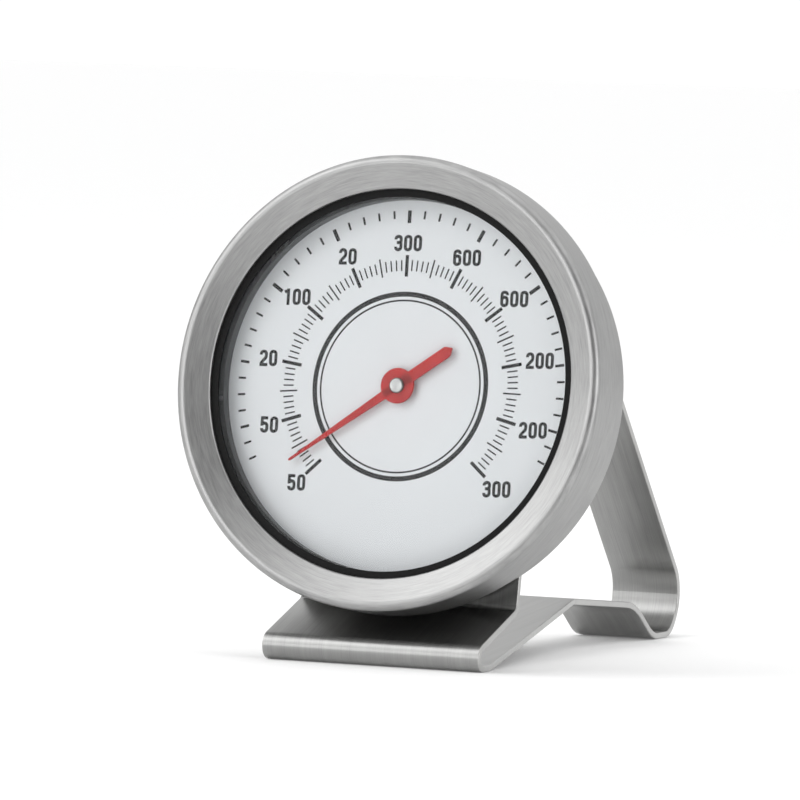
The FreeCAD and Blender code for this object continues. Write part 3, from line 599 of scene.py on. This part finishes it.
def make_dial_print(ink):
    rings = bmesh.new()
    for inner, outer in RING_EDGES:
        printed_ring(rings, inner, outer)
    print_piece("print_double_ring", rings, ink)

    inner_scale, figures = bmesh.new(), bmesh.new()
    strokes = digit_strokes()
    spans = len(FIGURES) - 1
    for part in range(spans * INNER_PARTS + 1):
        angle = (part / INNER_PARTS - spans / 2) * INNER_PITCH
        if part % INNER_PARTS == 0:
            tick(inner_scale, angle, *INNER_MAIN)
            text, radius = FIGURES[part // INNER_PARTS]
            write_figure(figures, text, on_dial(angle, radius), strokes)
        elif part % (INNER_PARTS // 2) == 0:
            tick(inner_scale, angle, *INNER_MIDDLE)
        else:
            tick(inner_scale, angle, *INNER_SHORT)
    print_piece("print_inner_scale", inner_scale, ink)
    print_piece("print_figures", figures, ink)

    outer_scale = bmesh.new()
    for k in range(-OUTER_LAST, OUTER_LAST + 1):
        kind = OUTER_SHORT
        if abs(k) in OUTER_MAIN_TICKS:
            kind = OUTER_MAIN
        elif abs(k) in OUTER_MIDDLE_TICKS:
            kind = OUTER_MIDDLE
        tick(outer_scale, k * OUTER_PITCH, *kind)
    print_piece("print_outer_scale", outer_scale, ink)


# ---------------------------------------------------------------- pointer

POINTER_ANGLE = math.radians(234.2)
POINTER_WIDTH, POINTER_TAIL_WIDTH, POINTER_TIP_WIDTH = 1.25, 1.6, 0.3
POINTER_REACH, POINTER_TAIL, TAIL_POINT = 19.2, 9.7, 0.9
HUB_RADIUS, COLLAR_RADIUS, COLLAR_BOTTOM, TIP_BORE = 2.5, 1.4, 0.35, 0.5
NEEDLE_LOW, NEEDLE_BEVEL, TAIL_ROUND, TAIL_END_ROUND = 0.8, 0.07, 0.3, 0.2
WAIST = HUB_RADIUS * 0.6
HUB_SEGMENTS = 96


def make_pointer(paint, silver):
    """Stamped red needle with a round hub, and the small bright cap on the shaft's end."""
    _, _, _, needle_high = dial_span("pointer")
    side, tail_side, tip = POINTER_WIDTH / 2, POINTER_TAIL_WIDTH / 2, POINTER_TIP_WIDTH / 2
    outline = rounded([
        (tip, POINTER_REACH, tip * 0.9), (-tip, POINTER_REACH, tip * 0.9),
        (-side, WAIST), (-tail_side, -WAIST),
        (-tail_side, TAIL_POINT - POINTER_TAIL, TAIL_ROUND), (0, -POINTER_TAIL, TAIL_END_ROUND),
        (tail_side, TAIL_POINT - POINTER_TAIL, TAIL_ROUND), (tail_side, -WAIST),
        (side, WAIST),
    ])
    bm = bmesh.new()
    base = bm.faces.new([bm.verts.new((p.x, p.y, NEEDLE_LOW)) for p in outline])
    raised = bmesh.ops.extrude_face_region(bm, geom=[base])["geom"]
    lifted = [v for v in raised if isinstance(v, bmesh.types.BMVert)]
    bmesh.ops.translate(bm, verts=lifted, vec=(0, 0, needle_high - NEEDLE_LOW))
    top_edges = [e for e in bm.edges if all(v.co.z > needle_high - 1e-6 for v in e.verts)]
    bmesh.ops.bevel(bm, geom=top_edges, offset=NEEDLE_BEVEL, segments=3, affect="EDGES",
                    profile=0.5)
    lathe(bm, [
        (TIP_BORE, COLLAR_BOTTOM), (COLLAR_RADIUS, COLLAR_BOTTOM, 0.1),
        (COLLAR_RADIUS, NEEDLE_LOW), (HUB_RADIUS, NEEDLE_LOW),
        (HUB_RADIUS, needle_high, 0.1), (TIP_BORE, needle_high),
    ], HUB_SEGMENTS)
    turned_place = DIAL @ Matrix.Rotation(-POINTER_ANGLE, 4, "Z")
    needle = finish_mesh("pointer_needle", bm, turned_place, TURNING, paint)
    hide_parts("pointer")

    _, radius, low, high = dial_span("pointer_cap")
    cap = turned("pointer_boss", [
        (0, low), (radius, low, 0.05), (radius, high, (high - low) * 0.7), (0, high),
    ], silver, body=TURNING)
    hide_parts("pointer_cap")


# ---------------------------------------------------------------- stand

STRIP = 0.9
FOOT_HALF, HUMP_HALF, LEG_HALF = 16.5, 6.3, 5.3
TAPER_START, CREST_START, TOE_FRONT, TOE_BACK = -4.6, 51.7, 83.0, 95.0
STRIP_CORNER = 1.6
STRIP_EDGE = 0.16
EDGE_BAND = 0.3
LONG_STEP = 1.5
# the bends of the strip's middle line: places along Y from the dial's centre, and heights
UPSTAND_DROP, UPSTAND_BOTTOM, UPSTAND_BEND = 15.0, 7.9, 1.6
ROLL_FRONT, ROLL_TOP, ROLL_BEND = -6.75, 3.05, 1.5
RAMP_START, RAMP_BEND = -1.2, 8.0
CREST_HEIGHT, CREST_BEND = 6.9, 2.0
HUMP_END, HUMP_HEIGHT, HUMP_BEND, TOE_BEND = 75.4, 5.4, 12.0, 7.0
HEEL_HEIGHT, HEEL_BEND = 8.5, 5.7
LEG_TOP, ARM_HEIGHT, LEG_BEND = 54.2, 52.0, 7.0
HOOK_TOP, HOOK_END, HOOK_END_HEIGHT, HOOK_BEND = 27.0, 26.0, 40.0, 6.0


def strip_line():
    """Middle line of the strip as (y from the dial's centre, z), upstand to hook."""
    dial_height = DIAL_CENTRE.z / MM
    behind = -dial_span("rear_case")[2] + STRIP / 2
    sine, cosine = math.sin(DIAL_TILT), math.cos(DIAL_TILT)
    top_y = behind * cosine - UPSTAND_DROP * sine
    top_z = dial_height - behind * sine - UPSTAND_DROP * cosine
    bottom_y = top_y - (top_z - UPSTAND_BOTTOM) * sine / cosine
    half = STRIP / 2
    return rounded([
        (top_y, top_z),
        (bottom_y, UPSTAND_BOTTOM, UPSTAND_BEND),
        (ROLL_FRONT, ROLL_TOP, ROLL_BEND),
        (ROLL_FRONT, half, ROLL_BEND),
        (RAMP_START, half, RAMP_BEND),
        (CREST_START, CREST_HEIGHT, CREST_BEND),
        (HUMP_END, HUMP_HEIGHT, HUMP_BEND),
        (TOE_FRONT, half, TOE_BEND),
        (TOE_BACK, half, HEEL_BEND),
        (TOE_BACK, HEEL_HEIGHT, HEEL_BEND),
        (LEG_TOP, ARM_HEIGHT, LEG_BEND),
        (HOOK_TOP, ARM_HEIGHT, HOOK_BEND),
        (HOOK_END, HOOK_END_HEIGHT),
    ], closed=False)


def in_short_steps(points):
    """The same line with its long straight runs divided."""
    made = [points[0]]
    for before, after in zip(points, points[1:]):
        steps = max(1, round((after - before).length / LONG_STEP))
        made += [before.lerp(after, k / steps) for k in range(1, steps + 1)]
    return made


def strip_half_widths(line):
    """Half the strip's width at each point: wide foot, tapering ramp, narrow hump and leg."""
    widths = []
    on_table = climbing = False
    for point in line:
        on_table = on_table or point.y < STRIP / 2 + 1e-3
        climbing = climbing or point.x > TOE_BACK - STRIP
        if not on_table:
            width = FOOT_HALF
        elif climbing:
            width = LEG_HALF
        elif point.x < CREST_START:
            share = max(0.0, (point.x - TAPER_START) / (CREST_START - TAPER_START))
            width = FOOT_HALF + (HUMP_HALF - FOOT_HALF) * share
        elif point.x < TOE_FRONT:
            width = HUMP_HALF
        else:
            share = (point.x - TOE_FRONT) / (TOE_BACK - STRIP - TOE_FRONT)
            width = HUMP_HALF + (LEG_HALF - HUMP_HALF) * share
        widths.append(width)
    return widths


def strip_section(half_width):
    """Cross-section of the strip, (across, through), with its edges broken."""
    half = STRIP / 2
    flat = half_width - EDGE_BAND
    return rounded([
        (half_width, half, STRIP_EDGE), (flat, half), (-flat, half),
        (-half_width, half, STRIP_EDGE), (-half_width, -half, STRIP_EDGE),
        (-flat, -half), (flat, -half), (half_width, -half, STRIP_EDGE),
    ])


def make_stand(steel):
    """The bent strip: upstand behind the case, rolled foot, ramp, hump, toe, leg and hook."""
    line = in_short_steps(strip_line())
    widths = strip_half_widths(line)
    travelled = [0.0]
    for before, after in zip(line, line[1:]):
        travelled.append(travelled[-1] + (after - before).length)
    bm = bmesh.new()
    route = bm.loops.layers.uv.new("strip")
    # a mask on the vertices along the strip's edges, where strip_steel paints a lighter tone as a
    # highlight
    painted_edge_highlight = bm.verts.layers.float.new("painted_edge_highlight")
    rows = []
    for i, point in enumerate(line):
        ahead = (line[min(i + 1, len(line) - 1)] - line[max(i - 1, 0)]).normalized()
        through = Vector((-ahead.y, ahead.x))
        from_end = min(travelled[i], travelled[-1] - travelled[i])
        short = max(0.0, STRIP_CORNER - from_end)
        trimmed = STRIP_CORNER - math.sqrt(max(0.0, STRIP_CORNER ** 2 - short ** 2))
        width = widths[i] - trimmed
        row = []
        for p in strip_section(width):
            row.append(bm.verts.new((p.x, point.x + through.x * p.y, point.y + through.y * p.y)))
            row[-1][painted_edge_highlight] = float(abs(p.x) > width - EDGE_BAND / 2)
        rows.append(row)
    for i, (row, after) in enumerate(zip(rows, rows[1:])):
        count = len(row)
        for k in range(count):
            ends = (row[k], row[(k + 1) % count], after[(k + 1) % count], after[k])
            face = bm.faces.new(ends)
            places = (travelled[i], travelled[i], travelled[i + 1], travelled[i + 1])
            for loop, vertex, along in zip(face.loops, ends, places):
                loop[route].uv = (vertex.co.x, along)
    for row in (rows[0], rows[-1]):
        bm.faces.new(row)
    place = Matrix.Translation((0, DIAL_CENTRE.y, 0))
    stand = finish_mesh("stand_strip", bm, place, FIXED, steel)
    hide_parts("stand")


RIVET_OFFSET, RIVET_DROP = 8.0, 20.0
RIVET_SHANK, RIVET_HEAD, RIVET_HEIGHT = 1.5, 2.9, 0.9
RIVET_TAIL_GAP, RIVET_TAIL_RADIUS, RIVET_TAIL_HEIGHT, RIVET_TAIL_ROUND = 0.5, 2.5, 0.7, 0.3
RIVET_SEGMENTS = 64


def make_rivets(metal):
    """Domed rivets through the case's back and the upstand."""
    bm = bmesh.new()
    _, _, back, _ = dial_span("rear_case")
    strip_back = back - STRIP
    inside = back + CASE_WALL + RIVET_TAIL_GAP
    tail_end = inside + RIVET_TAIL_HEIGHT
    for x in (-RIVET_OFFSET, RIVET_OFFSET):
        lathe(bm, [
            (0, strip_back - RIVET_HEIGHT), (RIVET_HEAD * 0.6, strip_back - RIVET_HEIGHT, 0.8),
            (RIVET_HEAD, strip_back - RIVET_HEIGHT * 0.25, 0.2), (RIVET_HEAD, strip_back),
            (RIVET_SHANK, strip_back), (RIVET_SHANK, inside), (RIVET_TAIL_RADIUS, inside),
            (RIVET_TAIL_RADIUS, tail_end, RIVET_TAIL_ROUND), (0, tail_end),
        ], RIVET_SEGMENTS, (x, -RIVET_DROP))
    rivets = finish_mesh("stand_rivet_pair", bm, DIAL, FIXED, metal)
    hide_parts("stand_rivets")


# ---------------------------------------------------------------- carried-over CAD nodes

def finish_cad_nodes(steel, brass, bimetal, rivet):
    """The works inside the case keep their CAD shapes and get their metals."""
    metals = {
        steel: ("arbor", "arbor_clip", "coil_pin"),
        brass: ("coil_collet", "coil_post", "bridge", "bridge_pillars", "front_bush", "rear_bush"),
        bimetal: ("bimetal_coil",),
        rivet: ("dial_posts", "bridge_screws", "rivet_washers"),
    }
    for metal, nodes in metals.items():
        for name in nodes:
            slots = frame["nodes"][name].data.materials
            slots.clear()
            slots.append(metal)


# ---------------------------------------------------------------- studio

CAMERA_YAW, CAMERA_PITCH, CAMERA_ROLL = math.radians(23.5), math.radians(2.18), math.radians(2.08)
CAMERA_DISTANCE, AIM_DROP = 1.25714, 0.001893
CAMERA_LENS = 405


def add_camera():
    turn = (Matrix.Rotation(CAMERA_YAW, 4, "Z")
            @ Matrix.Rotation(math.radians(90) - CAMERA_PITCH, 4, "X")
            @ Matrix.Rotation(CAMERA_ROLL, 4, "Z"))
    camera = bpy.data.objects.new("camera", bpy.data.cameras.new("camera"))
    camera.data.lens = CAMERA_LENS
    camera.data.clip_end = 100
    place = DIAL_CENTRE + turn @ Vector((0, -AIM_DROP, CAMERA_DISTANCE))
    camera.matrix_world = Matrix.Translation(place) @ turn
    bpy.context.scene.collection.objects.link(camera)
    bpy.context.scene.camera = camera


FLOOR_SIDE, FLOOR_DROP = 40000, 0.05


def add_floor():
    material, tree, shader = new_material("floor_white", (0.8, 0.8, 0.8), 0.75)
    ramp_to(tree, noise(tree, object_place(tree), scale=40), shader.inputs["Base Color"],
            (0.84, 0.84, 0.84), (0.85, 0.85, 0.85))
    shader.inputs["Specular IOR Level"].default_value = 0.2
    shader.inputs["Emission Color"].default_value = (1, 1, 1, 1)
    shader.inputs["Emission Strength"].default_value = 0.1
    bm = bmesh.new()
    bmesh.ops.create_grid(bm, x_segments=8, y_segments=8, size=FLOOR_SIDE)
    mesh = bpy.data.meshes.new("floor")
    bm.to_mesh(mesh)
    bm.free()
    mesh.transform(Matrix.Scale(MM, 4))
    mesh.materials.append(material)
    floor = bpy.data.objects.new("floor", mesh)
    floor.location.z = -FLOOR_DROP * MM
    bpy.context.scene.collection.objects.link(floor)


def add_softbox(name, place, width, depth, power):
    """A soft area light that looks at the dial."""
    light = bpy.data.lights.new(name, "AREA")
    light.shape, light.size, light.size_y, light.energy = "RECTANGLE", width, depth, power
    lamp = bpy.data.objects.new(name, light)
    lamp.location = place
    lamp.rotation_euler = (Vector(place) - DIAL_CENTRE).to_track_quat("Z", "Y").to_euler()
    bpy.context.scene.collection.objects.link(lamp)


# (name, place in m, width and depth in m, power in W)
SOFTBOXES = (
    ("key_softbox", (-1.1, -0.95, 0.98), 1.6, 1.2, 12),
    ("low_softbox", (-0.4, -1.3, 0.16), 0.8, 0.44, 2.4),
    ("side_softbox", (1.2, -0.45, 0.3), 0.8, 0.5, 4),
)
STUDIO_WHITE, BACK_WHITE, TOP_WHITE, DARK_CORNER = 0.75, 0.9, 1.35, 0.12
BACKDROP_WHITE = 1.05
DARK_WAY = (0.4535, -0.853, 0.2588)


def add_surroundings():
    """A white studio with one soft dark area in front; the camera sees an even white backdrop."""
    world = bpy.data.worlds.new("studio")
    world.use_nodes = True
    bpy.context.scene.world = world
    tree = world.node_tree
    background = tree.nodes["Background"]
    way = add_node(tree, "ShaderNodeTexCoord").outputs["Generated"]
    axes = add_node(tree, "ShaderNodeSeparateXYZ", inputs={"Vector": way}).outputs
    toward = add_node(tree, "ShaderNodeVectorMath", operation="DOT_PRODUCT",
                      inputs={0: way, 1: DARK_WAY})

    def faded(value, start, end, low, high):
        fade = add_node(tree, "ShaderNodeMapRange", interpolation_type="SMOOTHSTEP", inputs={
            "Value": value, "From Min": start, "From Max": end, "To Min": low, "To Max": high})
        return fade.outputs["Result"]

    behind = faded(axes["Y"], 0.0, 0.7, STUDIO_WHITE, BACK_WHITE)
    overhead = faded(axes["Z"], 0.35, 0.9, behind, TOP_WHITE)
    studio = faded(toward.outputs["Value"], 0.66, 0.97, overhead, DARK_CORNER)
    seen = add_node(tree, "ShaderNodeLightPath").outputs["Is Camera Ray"]
    strength = faded(seen, 0.0, 1.0, studio, BACKDROP_WHITE)
    background.inputs["Color"].default_value = (1, 1, 1, 1)
    tree.links.new(strength, background.inputs["Strength"])


def build():
    bezel = bezel_steel()
    silver = bright_metal("boss_silver", (0.3, 0.3, 0.3), (0.45, 0.45, 0.44), 0.3)
    brass = bright_metal("works_brass", (0.52, 0.36, 0.14), (0.72, 0.53, 0.24), 0.3)
    bimetal = bright_metal("coil_bimetal", (0.42, 0.4, 0.38), (0.58, 0.55, 0.5), 0.34)
    shaft = bright_metal("shaft_steel", (0.45, 0.45, 0.46), (0.62, 0.62, 0.63), 0.25)
    rivet = bright_metal("rivet_steel", (0.45, 0.45, 0.46), (0.62, 0.62, 0.63), 0.3)
    make_bezel(bezel)
    make_case(case_steel())
    make_dial_stack(black_rubber(), spacer_plastic(), dial_enamel(), lens_glass())
    make_dial_print(dial_ink())
    make_pointer(pointer_paint(), silver)
    make_stand(strip_steel())
    make_rivets(rivet)
    finish_cad_nodes(shaft, brass, bimetal, rivet)
    add_floor()
    add_camera()
    for softbox in SOFTBOXES:
        add_softbox(*softbox)
    add_surroundings()
    bpy.context.scene.view_settings.view_transform = "Standard"


build()
